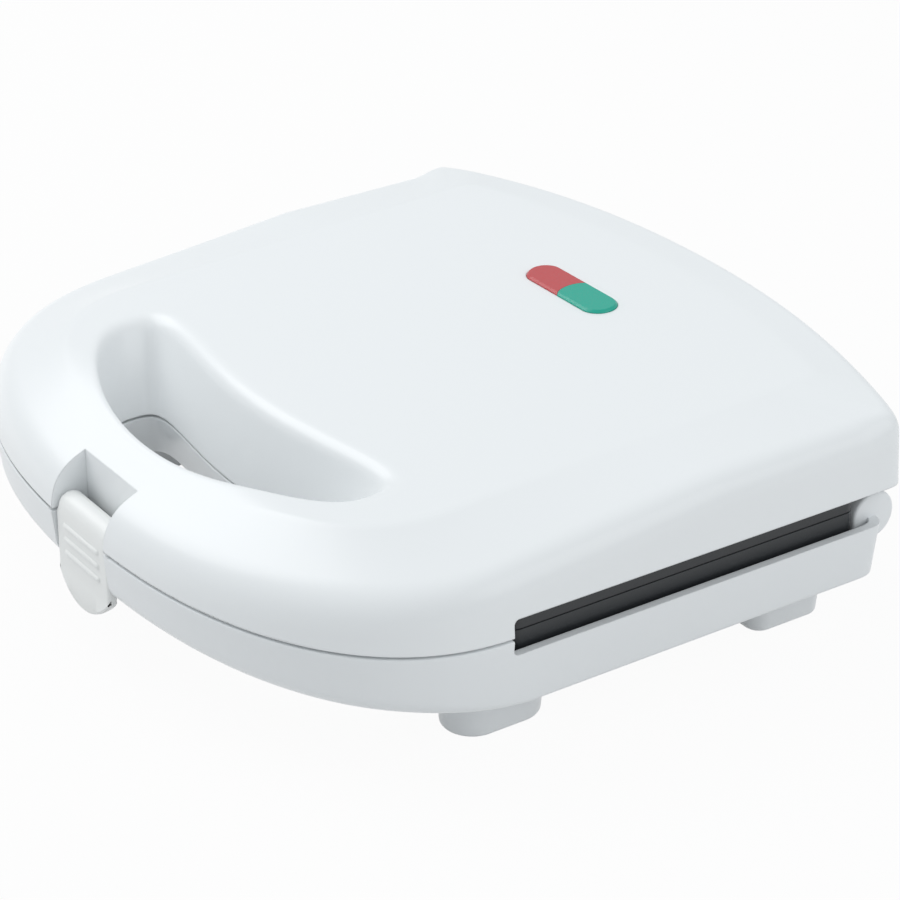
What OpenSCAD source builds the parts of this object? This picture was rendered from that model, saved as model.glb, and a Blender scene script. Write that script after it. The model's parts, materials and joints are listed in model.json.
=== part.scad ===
// Two-slice sandwich toaster with a hinged lid, an open hand grip and a front latch.
// Millimetres. The floor is z = 0, the handle and latch face -Y, the hinge is at +Y.

/* [Housing] */
// Width of the housing at the split between lid and base
body_w = 230; // [222:1:240]
// Depth of the lid from the grip to its back wall
body_d = 219; // [215:1:226]
// Height of the split between lid and base above the floor
split_z = 39; // [38.5:0.5:41]
// Visible gap between the closed lid and base covers
split_gap = 0.8; // [0.6:0.1:1.2]
// Wall thickness of the moulded covers
wall = 2.4; // [2:0.1:2.6]
// Where the straight sides end and the round front begins, measured from the front
front_depth = 69.5; // [66:0.5:74]
// Roundness of the front, 2 is an ellipse
front_power = 2.33; // [2.1:0.01:2.6]
// Radius of the bowed back edge of the lid
back_r = 360; // [320:10:440]
// Sharpness of the two back corners of the lid
corner_power = 50; // [30:1:60]

/* [Lid] */
// Height of the lid's outer edge at the front
edge_front_z = 50; // [48:0.5:52]
// Height of the lid's outer edge along the rear half of the sides
edge_side_z = 64.5; // [63:0.1:65.5]
// Height of the lid's outer edge at the back corners
edge_corner_z = 66.3; // [65.4:0.1:67.4]
// Height of the lid's outer edge at the middle of the back
edge_back_z = 70.3; // [69:0.1:71]
// Rounding of the lid's outer edge at the front and sides
edge_r = 8.5; // [6:0.5:10]
// Rounding of the lid's outer edge at the middle of the back
edge_back_round = 3; // [2:0.1:4]
// Inward lean of the lid wall at its top
lid_draft = 1.3; // [0.8:0.1:2]
// Height of the top panel at its middle
panel_z = 66.8; // [66:0.1:68]
// Rise of the top panel towards the back, in mm per mm
panel_rise = 0.044; // [0.02:0.001:0.05]
// Half the width of the top panel
panel_half_w = 85.5; // [80:0.5:88]
// Crown of the top panel from its middle to its side edge
panel_crown = 0.5; // [0:0.1:1]

/* [Base] */
// Height of the underside of the base above the floor
foot_h = 17; // [15:0.5:17.5]
// Inward lean of the base wall at its bottom
base_draft = 1.6; // [1:0.1:2.4]
// Rounding between the base wall and the underside at the front
base_edge_r = 6; // [4:0.5:7]
// Rounding between the base wall and the underside at the sides and back
base_side_round = 1.6; // [1.2:0.1:2.4]
// Distance of the base's back wall in front of the lid's back wall
base_back_inset = 13; // [12.5:0.5:14.5]
// Rise of the underside towards the front grip, in mm per mm
grip_rise = 0.09; // [0.05:0.01:0.11]

/* [Hand grip opening] */
// Half the width of the opening at the split
grip_half_w = 49.5; // [46:0.5:52]
// Half the width of the opening at the top of the lid
grip_top_half_w = 62; // [58:0.5:64]
// Depth of the solid grip bar in front of the opening
grip_bar = 22.7; // [21.5:0.1:24]
// Front to back size of the opening at the top of the lid
grip_open = 34.3; // [31:0.1:36]

/* [Plates] */
// Gap between the plates and the side walls of the housing
plate_side_gap = 1.6; // [1.2:0.1:2.2]
// Thickness of the cast plates
plate_t = 2.2; // [2:0.1:2.4]
// Depth of the triangular pockets below the rim
pocket_depth = 8; // [7:0.1:8.2]
// Gap between the two plates when the lid is closed
plate_gap = 0.3; // [0.2:0.1:0.5]
// Height of the rim and the sealing ridges above the plate's face
ridge_h = 1.8; // [1.4:0.1:2.1]

/* [Heating] */
// Diameter of the tubular heating elements
element_d = 5; // [4.5:0.1:5.2]
// Thickness of the sheet metal reflectors
sheet_t = 0.6; // [0.4:0.1:0.8]

/* [Hinge] */
// Diameter of the steel hinge pins
hinge_pin_d = 4; // [3:0.5:5]
// Outer radius of the hinge ears on the base
ear_r = 7.4; // [6.5:0.1:7.6]
// Radial running clearance of pins in the parts that turn on them
run_gap = 0.05; // [0.02:0.01:0.1]

/* [Latch] */
// Width of the latch
latch_w = 29; // [26:0.5:31]
// Diameter of the latch pin
latch_pin_d = 3; // [2.5:0.1:3.2]
// Radius of the rounded top of the latch
latch_barrel_r = 4; // [3.6:0.1:4.3]
// Height of the latch pivot above the split
latch_pivot_h = 1.6; // [1:0.1:2.2]
// Length of the latch below its pivot
latch_drop = 26.4; // [24:0.2:27]
// Side clearance of the latch in its recess
latch_gap = 0.5; // [0.3:0.1:0.8]

/* [Indicator] */
// Length of the indicator lens
lens_l = 38; // [34:0.5:40]
// Width of the indicator lens
lens_w = 11.6; // [10:0.2:13]
// Height of the lens above the top panel
lens_proud = 0.9; // [0.4:0.1:1.4]

/* [Hidden] */

front_y = -body_d / 2;
back_y = body_d / 2;
shoulder_y = front_y + front_depth;
half_w = body_w / 2;
base_rim = split_z - split_gap / 2;
lid_rim = split_z + split_gap / 2;
seat = 0.05;                 // gap between fixed pieces that sit on each other
ray_y = 10;                  // centre of the rays that the plan outlines are drawn on
far = 300;                   // reach of cuts that pass right through

// plan outlines: [half width, front y, shoulder y, back y, back radius, corner power]
function lid_plan(d) =
    [half_w - d, front_y + d, shoulder_y, back_y - d, back_r, corner_power];
hinge_y = back_y - 24;
hinge_z = split_z - 5;
base_back_r = 600;           // the base's back wall is flatter than the lid's
base_corner_power = 50;
function base_plan(d) =
    [half_w - d, front_y + d, shoulder_y, back_y - base_back_inset - d, base_back_r, base_corner_power];
panel_front = front_y + grip_bar - 3.2;
panel_back = back_y - 15;
panel_back_r = 300;
panel_plan = [panel_half_w, panel_front, panel_front + 47, panel_back, panel_back_r, 40];

function pnorm(a, b, m) = pow(pow(a, m) + pow(b, m), 1 / m);
function plan_f(s, x, y) = pnorm(
    pnorm(abs(x) / s[0], max(0, s[2] - y) / (s[2] - s[1]), front_power),
    max(0, y - ray_y) / (s[3] - x * x / (2 * s[4]) - ray_y), s[5]);
function ray_len(s, a, lo = 0, hi = 200, k = 20) = k == 0 ? (lo + hi) / 2
    : let (mid = (lo + hi) / 2)
        plan_f(s, mid * sin(a), ray_y + mid * cos(a)) > 1
            ? ray_len(s, a, lo, mid, k - 1) : ray_len(s, a, mid, hi, k - 1);
half_angles = concat([for (a = [0 : 7 : 42]) a], [for (a = [46 : 1 : 60]) a], [62, 65],
    [for (a = [69 : 5 : 175]) a]);
ray_angles = concat(half_angles, [180],
    [for (i = [len(half_angles) - 1 : -1 : 1]) 360 - half_angles[i]]);
function outline(s) = [for (a = ray_angles) let (r = ray_len(s, a)) [-r * sin(a), ray_y + r * cos(a)]];

function smooth(t) = let (u = min(1, max(0, t))) u * u * (3 - 2 * u);
side_flat_y = back_y - 82.5;      // the lid's side edge is level behind this, and falls in front
side_fall = (edge_side_z - edge_front_z) / (side_flat_y - front_y);
corner_y = back_y - half_w * half_w / (2 * back_r);
turn_y = back_y - 31.5;           // the side edge climbs to the back corner from here
function to_corner(y) = smooth((y - turn_y) / (corner_y - turn_y));
function edge_z(y) = edge_side_z - side_fall * max(0, side_flat_y - y)
    + (edge_corner_z - edge_side_z) * to_corner(y)
    + (edge_back_z - edge_corner_z) * (1 - pow(min(1, max(0, (back_y - y) / (back_y - corner_y))), 1.5));
corner_round = 0.7 * edge_r;
function edge_round(y) = edge_r + (corner_round - edge_r) * to_corner(y)
    + (edge_back_round - corner_round) * smooth((y - corner_y) / (back_y - corner_y));
function base_round(y) = base_side_round
    + (base_edge_r - base_side_round) * smooth((shoulder_y + 5 - y) / 40);
panel_dip = 4.6;                  // drop of the panel's front edge to the grip bar
panel_dip_l = 15;                 // length of that drop
function panel_top(x, y) = panel_z + panel_rise * y - panel_crown * pow(x / panel_half_w, 2)
    - panel_dip * pow(max(0, panel_front + panel_dip_l - y) / panel_dip_l, 2);
function lid_top(x, y) = abs(x) < panel_half_w ? panel_top(x, y)
    : let (c = panel_top(panel_half_w, y), t = (abs(x) - panel_half_w) / (half_w - lid_draft - panel_half_w))
        c + t * (edge_z(y) - c);
rear_rise = 0.3;                  // the underside climbs behind the hinge so the lid's back can pass
function under_z(y) = foot_h + grip_rise * max(0, shoulder_y + 3 - y) + rear_rise * max(0, y - hinge_y + 2);

function at(p, z) = [p[0], p[1], z];
function mix(p, q, t) = p + (q - p) * t;
function bend(p, v, q, t) = p * pow(1 - t, 2) + v * 2 * t * (1 - t) + q * t * t;

// rings of the lid's skin, moved inwards by d, from the rim to the middle of the panel
function lid_rings(d) = let (
    rim = outline(lid_plan(d)), edge = outline(lid_plan(d + lid_draft)), panel = outline(panel_plan),
    n = [for (i = [0 : len(rim) - 1]) i],
    v = [for (i = n) at(edge[i], edge_z(edge[i][1]) - d)],
    c = [for (i = n) at(panel[i], panel_top(panel[i][0], panel[i][1]) - d)],
    low = [for (i = n) at(rim[i], d > 0 ? lid_rim - 2 : lid_rim)],
    s = [for (i = n) mix(v[i], low[i], min(0.9, edge_round(v[i][1]) / (v[i][2] - low[i][2])))],
    e = [for (i = n) mix(v[i], c[i], min(0.8, edge_round(v[i][1]) / norm(c[i] - v[i])))],
    inner = [for (k = [0.85, 0.5, 0.12]) [for (i = n) let (x = panel[i][0] * k,
        y = ray_y + (panel[i][1] - ray_y) * k) [x, y, panel_top(x, y) - d]]])
    concat([low], [for (t = [0 : 0.25 : 1]) [for (i = n) bend(s[i], v[i], e[i], t)]], [c], inner);

// rings of the base's skin, moved inwards by d, from the underside to the rim
function base_rings(d) = let (
    rim = outline(base_plan(d)), edge = outline(base_plan(d + base_draft)),
    n = [for (i = [0 : len(rim) - 1]) i],
    v = [for (i = n) at(edge[i], under_z(edge[i][1]) + d)],
    top = [for (i = n) at(rim[i], d > 0 ? base_rim + 2 : base_rim)],
    mid = [for (i = n) [0, ray_y]],
    s = [for (i = n) mix(v[i], top[i], base_round(v[i][1]) / (top[i][2] - v[i][2]))],
    flat = [for (k = [0.15, 0.5, 0.8]) [for (i = n) let (p = mix(mid[i], edge[i], k))
        at(p, under_z(p[1]) + d)]],
    e = [for (i = n) let (p = mix(edge[i], mid[i], base_round(edge[i][1]) / norm(edge[i] - mid[i])))
        at(p, under_z(p[1]) + d)])
    concat(flat, [e], [for (t = [0.25 : 0.25 : 1]) [for (i = n) bend(e[i], v[i], s[i], t)]], [top]);

// closed solid through rings of equal length, each drawn anticlockwise seen from above
module loft(rings) {
    n = len(rings[0]);
    m = len(rings);
    share = [for (p = rings[0]) 1 / n];
    centre = [for (r = [rings[0], rings[m - 1]]) [for (k = [0 : 2]) [for (p = r) p[k]] * share]];
    points = concat([for (r = rings) for (p = r) p], centre);
    sides = [for (i = [0 : m - 2]) for (j = [0 : n - 1]) let (
        a = i * n + j, b = i * n + (j + 1) % n) each [[a, a + n, b + n], [a, b + n, b]]];
    lower = [for (j = [0 : n - 1]) [m * n, j, (j + 1) % n]];
    upper = [for (j = [0 : n - 1]) [m * n + 1, (m - 1) * n + (j + 1) % n, (m - 1) * n + j]];
    polyhedron(points, concat(sides, lower, upper));
}

// bean-shaped ring of the hand opening: its front and rear edges both bow to the front
grip_front_r = 130;
grip_rear_r = 150;
grip_power = 5;
grip_arc = [0, 0.14, 0.28, 0.42, 0.55, 0.67, 0.78, 0.87];
grip_end = [0.82, 0.66, 0.42];
grip_y = front_y + grip_bar;
function grip_pair(u) = pow(1 - pow(u, grip_power), 1 / grip_power);
grip_quarter = concat([for (u = grip_arc) [u, grip_pair(u)]], [for (v = grip_end) [grip_pair(v), v]]);
grip_last = len(grip_quarter) - 1;
// unit ring, anticlockwise from the left end: along the front, round the right end, back along the rear
grip_unit = concat([[-1, 0]], [for (i = [grip_last : -1 : 1]) [-grip_quarter[i][0], -grip_quarter[i][1]]],
    [for (q = grip_quarter) [q[0], -q[1]]], [[1, 0]],
    [for (i = [grip_last : -1 : 1]) grip_quarter[i]], [for (q = grip_quarter) [-q[0], q[1]]]);
function grip_ring(w, front, rear, z) = [for (p = grip_unit) let (x = p[0] * w,
    f = front + x * x / (2 * grip_front_r), r = rear + x * x / (2 * grip_rear_r))
    [x, (f + r) / 2 + p[1] * (r - f) / 2, z]];
grip_under_half_w = grip_half_w + 17.5;
grip_low_half_w = grip_half_w + 4.5;
grip_flare_z = foot_h + 8.3;      // the hole widens sharply below this
grip_waist = 6.9;                 // how far the rear edge moves forward at the split
grip_lip = 2.6;                   // how far the front edge moves back at the split
function grip_neck(d, z) =
    grip_ring(grip_half_w + d, grip_y + grip_lip - d, grip_y + grip_open - grip_waist + d, z);
function grip_top(d, z) = grip_ring(grip_top_half_w + d, grip_y - d, grip_y + grip_open + d, z);
function grip_under(d, z) =
    grip_ring(grip_under_half_w + d, grip_y + 0.6 - d, grip_y + grip_open + 5.5 + d, z);
function grip_low(d, z) =
    grip_ring(grip_low_half_w + d, grip_y + grip_lip - 1 - d, grip_y + grip_open - 4.6 + d, z);
module grip_upper(d) {
    loft([grip_neck(d, lid_rim - 2), grip_neck(d, split_z), grip_top(d, panel_z - 4.8),
        grip_top(d, panel_z + 12)]);
}
module grip_lower(d) {
    loft([grip_under(d, foot_h - 4), grip_under(d, foot_h + 2.5 + 0.7 * d),
        grip_low(d, grip_flare_z + 0.7 * d), grip_neck(d, split_z), grip_neck(d, base_rim + 3)]);
}

module block(x0, x1, y0, y1, z0, z1) {
    translate([x0, y0, z0]) cube([x1 - x0, y1 - y0, z1 - z0]);
}
module rod_x(x0, x1, y, z, r, fn = 40) {
    translate([x0, y, z]) rotate([0, 90, 0]) cylinder(h = x1 - x0, r = r, $fn = fn);
}
module rod_y(x, y0, y1, z, r, fn = 40) {
    translate([x, y0, z]) rotate([-90, 0, 0]) cylinder(h = y1 - y0, r = r, $fn = fn);
}
module rod_z(x, y, z0, z1, r, fn = 32) {
    translate([x, y, z0]) cylinder(h = z1 - z0, r = r, $fn = fn);
}
module both_sides() {
    children();
    mirror([1, 0, 0]) children();
}

/* hinge */
ear_x0 = half_w - 16;
ear_x1 = half_w - 5.5;
lug_gap = 0.5;
lug_x1 = ear_x0 - lug_gap;
lug_x0 = lug_x1 - 10;
lug_r = 5.5;
pin_r = hinge_pin_d / 2;

/* windows in the sides that show the plates */
window_front = shoulder_y - 3;
window_low = split_z - 5;
window_high = split_z + 5.8;
hinge_window_x = lug_x0 - 21.5;    // the rear rim is cut back to here over the hinge
window_r = 1.6;
back_rim = split_z - 1.6;

/* latch */
latch_half = latch_w / 2;
latch_y = front_y + latch_barrel_r + 1.6;
latch_z = split_z + latch_pivot_h;
latch_t = 3;
latch_face = latch_y - latch_barrel_r - 0.2;
recess_half = latch_half + latch_gap;
recess_back = latch_y + latch_barrel_r + 2.3;
latch_pin_r = latch_pin_d / 2;
latch_pin_half = recess_half + wall - 0.2;
hook_z = split_z - 13.4;
hook_out = 1.9;
hook_gap = 0.35;

/* plates, measured downwards from the split and mirrored for the upper one */
plate_half_w = half_w - wall - plate_side_gap;
plate_front = shoulder_y - 1.5;
plate_back = hinge_y - ear_r - 1.1;
plate_r = 3.5;
face_z = plate_gap / 2 + ridge_h;
pocket_z = plate_gap / 2 + pocket_depth;
shell_z = pocket_z + plate_t;
skirt_z = 8.5;
skirt_t = 3;
well_x0 = 9;
well_x1 = plate_half_w - 8;
well_y0 = plate_front + 15.5;
well_y1 = plate_back - 9.5;
ridge_w = 3.4;
diag_gap = 4.7;
well_r = 11;
post_x = plate_half_w - 7.6;
post_y0 = plate_front + 12.3;
post_y1 = plate_back - 6.8;
post_r = 4.5;
screw_r = 1.5;
screw_head_r = 2.9;
screw_head_h = 1.6;
screw_l = 15;
boss_hole_z = face_z + screw_l + 1;

/* heating parts, measured downwards from the split */
element_z = shell_z + seat + element_d / 2;
element_x = plate_half_w * 0.56;
element_y0 = plate_front + 35.5;
element_y1 = plate_back - 28;
element_bend = 12;
tail_x = 20;
clamp_z = shell_z + 2 * seat + element_d;
clamp_t = 1;
clamp_reach = 8.5;
clamp_x = (tail_x + element_x) / 2;
clamp_head = 1.2;
sheet_z = clamp_z + clamp_t + clamp_head + 0.35;
sheet_x = 90;
sheet_y0 = plate_front + 15.5;
sheet_y1 = plate_back - 4;
sheet_r = 8;
sheet_holes = [20, 60];
sheet_hole_y = 30;
stay_r = 3;

// corners of the two triangles of one well, right angle first, drawn anticlockwise
tri_front = [[well_x1, well_y0], [well_x1, well_y1 - diag_gap], [well_x0 + diag_gap, well_y0]];
tri_back = [[well_x0, well_y1], [well_x0, well_y0 + diag_gap], [well_x1 - diag_gap, well_y1]];
function side_len(t, i) = norm(t[(i + 1) % 3] - t[(i + 2) % 3]);
function girth(t) = side_len(t, 0) + side_len(t, 1) + side_len(t, 2);
function incentre(t) = (t[0] * side_len(t, 0) + t[1] * side_len(t, 1) + t[2] * side_len(t, 2)) / girth(t);
function inradius(t) = let (u = t[1] - t[0], v = t[2] - t[0]) abs(u[0] * v[1] - v[0] * u[1]) / girth(t);
tri_steps = 6;
function edge_dir(t, i) = let (v = t[(i + 1) % 3] - t[i % 3]) atan2(v[1], v[0]);
function turn(a, b) = b < a ? b - a + 360 : b - a;
// triangle with all sides moved inwards by d and corners of radius r
function soft_tri(t, d, r) = let (c = incentre(t), q = inradius(t)) [for (i = [0 : 2]) let (
    p = c + (t[i] - c) * ((q - d - r) / q), a = edge_dir(t, i + 2), b = turn(a, edge_dir(t, i)))
    for (j = [0 : tri_steps]) let (w = a - 90 + b * j / tri_steps) p + r * [cos(w), sin(w)]];
function tri_ring(t, d, r, z) = [for (p = soft_tri(t, d, r)) [p[0], p[1], z]];
stay_back = incentre(tri_back) - [0, 3];
stay_front = incentre(tri_front) + [7, 7];

module pocket_hollow(t) {
    loft([tri_ring(t, 9, 5, -pocket_z), tri_ring(t, 3.5, 8, -pocket_z + 1.6),
        tri_ring(t, 0.8, 10.2, -pocket_z + 5), tri_ring(t, 0, well_r, 1)]);
}
module pocket_shell(t) {
    loft([tri_ring(t, 8, 6, -shell_z), tri_ring(t, 1.5, 10, -shell_z + 1.4),
        tri_ring(t, -1.6, 12.6, -face_z - plate_t + 0.5)]);
}
module rounded_plate(x, y0, y1, r, z0, z1) {
    block(r - x, x - r, y0, y1, z0, z1);
    block(-x, x, y0 + r, y1 - r, z0, z1);
    for (i = [-1, 1], y = [y0 + r, y1 - r]) rod_z(i * (x - r), y, z0, z1, r);
}
module at_posts() {
    both_sides() for (y = [post_y0, post_y1]) translate([post_x, y, 0]) children();
}
module at_clamps() {
    translate([0, element_y0, 0]) children();
    both_sides() translate([clamp_x, element_y1, 0]) children();
}
module at_stays() {
    both_sides() for (p = [stay_back, stay_front]) translate([p[0], p[1], 0]) children();
}
module plate_body() {
    difference() {
        union() {
            rounded_plate(plate_half_w, plate_front, plate_back, plate_r, -face_z - plate_t, -face_z);
            difference() {
                rounded_plate(plate_half_w, plate_front, plate_back, plate_r, -skirt_z, -plate_gap / 2);
                rounded_plate(plate_half_w - skirt_t, plate_front + skirt_t, plate_back - skirt_t,
                    plate_r - skirt_t, -skirt_z - 1, 1);
            }
            both_sides() for (t = [tri_front, tri_back]) {
                pocket_shell(t);
                translate([0, 0, -face_z - 0.5]) linear_extrude(ridge_h + 0.5)
                    polygon(soft_tri(t, -ridge_w, well_r + ridge_w));
            }
            at_posts() rod_z(0, 0, -shell_z, -face_z - 0.5, post_r);
            at_clamps() rod_z(0, clamp_reach, -clamp_z + seat, -face_z - 0.5, 3.5);
            at_stays() rod_z(0, 0, -sheet_z + seat, -shell_z + 1, stay_r);
        }
        both_sides() for (t = [tri_front, tri_back]) pocket_hollow(t);
        at_posts() {
            rod_z(0, 0, -20, 0, screw_r + seat);
            translate([0, 0, -face_z - screw_head_h])
                cylinder(h = screw_head_h, r1 = screw_r + seat, r2 = screw_head_r + seat, $fn = 32);
            rod_z(0, 0, -face_z, 1, screw_head_r + seat);
        }
        at_clamps() rod_z(0, clamp_reach, -clamp_z - 1, -shell_z + 1, screw_r);
    }
}
module plate_screws_body() {
    at_posts() difference() {
        rotate_extrude($fn = 32) polygon([[0, -face_z - screw_l], [screw_r, -face_z - screw_l],
            [screw_r, -face_z - screw_head_h], [screw_head_r - 0.1, -face_z - 0.1], [0, -face_z - 0.1]]);
        translate([0, 0, -face_z - 0.9]) linear_extrude(2) polygon([[2, -0.4], [2, 0.4], [0.4, 0.4],
            [0.4, 2], [-0.4, 2], [-0.4, 0.4], [-2, 0.4], [-2, -0.4], [-0.4, -0.4], [-0.4, -2],
            [0.4, -2], [0.4, -0.4]]);
    }
}
module lower_frame() { translate([0, 0, split_z]) children(); }
module upper_frame() { translate([0, 0, split_z]) mirror([0, 0, 1]) children(); }

// tubular element: a loop below the pockets with two tails to the back
module tube_bend(x, y, a) {
    translate([x, y, -element_z]) rotate([0, 0, a]) rotate_extrude(angle = 90, $fn = 48)
        translate([element_bend, 0]) circle(d = element_d, $fn = 24);
}
module tube_y(x, y0, y1) {
    translate([x, y0, -element_z]) rotate([-90, 0, 0]) cylinder(h = y1 - y0, d = element_d, $fn = 24);
}
module tube_x(x0, x1, y) { rod_x(x0, x1, y, -element_z, element_d / 2, 24); }
module element_body() {
    xb = element_x - element_bend;
    y0 = element_y0 + element_bend;
    y1 = element_y1 - element_bend;
    tube_x(-xb, xb, element_y0);
    both_sides() {
        tube_bend(xb, y0, -90);
        tube_y(element_x, y0, y1);
        tube_bend(xb, y1, 0);
        tube_x(tail_x + element_bend, xb, element_y1);
        tube_bend(tail_x + element_bend, element_y1 + element_bend, 180);
        tube_y(tail_x, element_y1 + element_bend, plate_back - skirt_t - 1);
    }
}
// straps that hold the element against the plate, and their screws
module clamps_body() {
    at_clamps() difference() {
        block(-4, 4, -element_d / 2 - 2, clamp_reach + 3.5, -clamp_z - clamp_t, -clamp_z);
        rod_z(0, clamp_reach, -clamp_z - 5, -clamp_z + 5, screw_r + 0.1);
    }
}
module clamp_screws_body() {
    at_clamps() {
        rod_z(0, clamp_reach, -clamp_z - clamp_t - 0.5, -shell_z + 0.6, screw_r - seat);
        rod_z(0, clamp_reach, -clamp_z - clamp_t - clamp_head, -clamp_z - clamp_t - seat, 2.6);
    }
}
module sheet_body() {
    difference() {
        rounded_plate(sheet_x, sheet_y0, sheet_y1, sheet_r, -sheet_z - sheet_t, -sheet_z);
        both_sides() for (x = sheet_holes) rod_z(x, sheet_hole_y, -sheet_z - 3, -sheet_z + 3, 3);
    }
}

module lower_plate() { color([0.16, 0.17, 0.18]) lower_frame() plate_body(); }
module upper_plate() { color([0.16, 0.17, 0.18]) upper_frame() plate_body(); }
module lower_element() { color([0.55, 0.55, 0.57]) lower_frame() element_body(); }
module upper_element() { color([0.55, 0.55, 0.57]) upper_frame() element_body(); }
module lower_element_clamps() { color([0.75, 0.76, 0.78]) lower_frame() clamps_body(); }
module upper_element_clamps() { color([0.75, 0.76, 0.78]) upper_frame() clamps_body(); }
module lower_clamp_screws() { color([0.7, 0.7, 0.72]) lower_frame() clamp_screws_body(); }
module upper_clamp_screws() { color([0.7, 0.7, 0.72]) upper_frame() clamp_screws_body(); }
module lower_plate_screws() { color([0.7, 0.7, 0.72]) lower_frame() plate_screws_body(); }
module upper_plate_screws() { color([0.7, 0.7, 0.72]) upper_frame() plate_screws_body(); }
module lower_reflector() { color([0.8, 0.81, 0.83]) lower_frame() sheet_body(); }
module upper_reflector() { color([0.8, 0.81, 0.83]) upper_frame() sheet_body(); }

/* latch and its recess */
module latch_recess_lid() {
    block(-recess_half, recess_half, front_y - 20, recess_back, lid_rim - 20, panel_z + 10);
}
module latch_recess_base() {
    block(-recess_half, recess_half, front_y - 20, recess_back, -1, split_z + 20);
}
// ledge in the base's recess, above the hook of the closed latch
module catch_ledge() {
    block(-10, 10, latch_face + latch_t + hook_out + hook_gap, recess_back + wall, hook_z + 1, hook_z + 4);
}
tongue_r = 18;
module latch() {
    foot = latch_z - latch_drop;
    crease = foot + 7.6;
    color([0.91, 0.92, 0.91]) difference() {
        union() {
            rod_x(-latch_half, latch_half, latch_y, latch_z, latch_barrel_r, 64);
            intersection() {
                rotate([90, 0, 90]) linear_extrude(2 * latch_half, center = true) polygon([
                    [latch_face, latch_z], [latch_face, crease], [latch_face - 1.1, foot - 0.2],
                    [latch_face - 1.1 + latch_t, foot - 0.2], [latch_face + latch_t, crease + 0.3],
                    [latch_face + latch_t, hook_z - 2], [latch_face + latch_t + hook_out, hook_z - 1.2],
                    [latch_face + latch_t + hook_out, hook_z], [latch_face + latch_t, hook_z],
                    [latch_face + latch_t, latch_z]]);
                rod_y(0, latch_face - 10, latch_face + 10, foot + tongue_r, tongue_r, 96);
            }
            for (i = [0 : 2]) rod_x(-latch_half + 4.3, latch_half - 4.3, latch_face + 0.25,
                latch_z - 4.3 - 4.25 * i, 1, 24);
        }
        rod_x(-far, far, latch_y, latch_z, latch_pin_r + run_gap);
    }
}
module latch_pin() {
    color([0.7, 0.7, 0.72]) rod_x(-latch_pin_half, latch_pin_half, latch_y, latch_z, latch_pin_r);
}

/* indicator */
lens_y = back_y - 50;
lens_zoom = lens_l / 2 - lens_w / 2;
split_r = 9;
module lens_frame() {
    translate([0, lens_y, panel_z + panel_rise * lens_y]) rotate([atan(panel_rise), 0, 0]) children();
}
module oblong(d, z0, z1) {
    block(-lens_zoom, lens_zoom, -lens_w / 2 - d, lens_w / 2 + d, z0, z1);
    both_sides() rod_z(lens_zoom, 0, z0, z1, lens_w / 2 + d, 48);
}
bevel = 0.7;
module oblong_bevel(z) {
    w = lens_w / 2;
    rotate([90, 0, 90]) linear_extrude(2 * lens_zoom, center = true)
        polygon([[-w, z], [w, z], [w - bevel, z + bevel], [bevel - w, z + bevel]]);
    both_sides() translate([lens_zoom, 0, z]) cylinder(h = bevel, r1 = w, r2 = w - bevel, $fn = 48);
}
module lens_whole() {
    oblong(0, -wall - 0.6, lens_proud - bevel);
    oblong_bevel(lens_proud - bevel);
    oblong(1.4, -wall - 1.8, -wall - 0.6);
}
module green_side(d) {
    rod_z(split_r - 1.5, 0, -20, 20, split_r + d, 96);
    block(split_r - 1.5, 60, -30, 30, -20, 20);
}
module red_lens() {
    color([0.78, 0.22, 0.22]) lens_frame() difference() {
        lens_whole();
        green_side(seat);
    }
}
module green_lens() {
    color([0.1, 0.65, 0.53]) lens_frame() intersection() {
        lens_whole();
        green_side(0);
    }
}
holder_z = -8.4;                  // top of the lamp holder, from the panel
holder_half = 29;
holder_half_w = 6;
peg_x = 25;
clip_x = [3, 16];
clip_half = 4;
lamp_x0 = 2.5;
lamp_x1 = 16.5;
lamp_r = 1.8;
module lamp_holder() {
    color([0.9, 0.88, 0.8]) lens_frame() difference() {
        union() {
            block(-holder_half, holder_half, -holder_half_w, holder_half_w, holder_z - 1.2, holder_z);
            both_sides() for (x = clip_x)
                block(x - 1, x + 1, -clip_half, clip_half, holder_z - 0.5, holder_z + lamp_r + 0.6);
        }
        rod_x(-far, far, 0, holder_z + lamp_r + 0.3, lamp_r + seat, 32);
        both_sides() rod_z(peg_x, 0, holder_z - 5, holder_z + 5, 1.6);
    }
}
module lamp_body() { rod_x(lamp_x0, lamp_x1, 0, holder_z + lamp_r + 0.3, lamp_r, 32); }
module red_lamp() { color([0.95, 0.6, 0.4]) lens_frame() mirror([1, 0, 0]) lamp_body(); }
module green_lamp() { color([0.8, 0.95, 0.8]) lens_frame() lamp_body(); }
module holder_pegs() {
    lens_frame() both_sides() {
        rod_z(peg_x, 0, holder_z + seat, 0, 3);
        rod_z(peg_x, 0, holder_z - 1.8, 0, 1.5);
    }
}

module thermostat() {
    p = incentre(tri_front) - [3, 6];
    color([0.72, 0.73, 0.75]) upper_frame() {
        rod_z(p[0], p[1], -shell_z - 4.5, -shell_z - seat, 6.5, 48);
        rod_z(p[0], p[1], -shell_z - 6.3, -shell_z - 4.5, 4.2, 48);
        block(p[0] - 8, p[0] + 8, p[1] - 1.6, p[1] + 1.6, -shell_z - 3.6, -shell_z - 3);
    }
}
module thermal_fuse() {
    p = incentre(tri_back) - [0, 11];
    color([0.85, 0.85, 0.86]) upper_frame() {
        rod_x(-p[0] - 6, -p[0] + 6, p[1], -shell_z - seat - 1.9, 1.9, 32);
        rod_x(-p[0] - 12, -p[0] + 12, p[1], -shell_z - seat - 1.9, 0.5, 16);
    }
}

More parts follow.
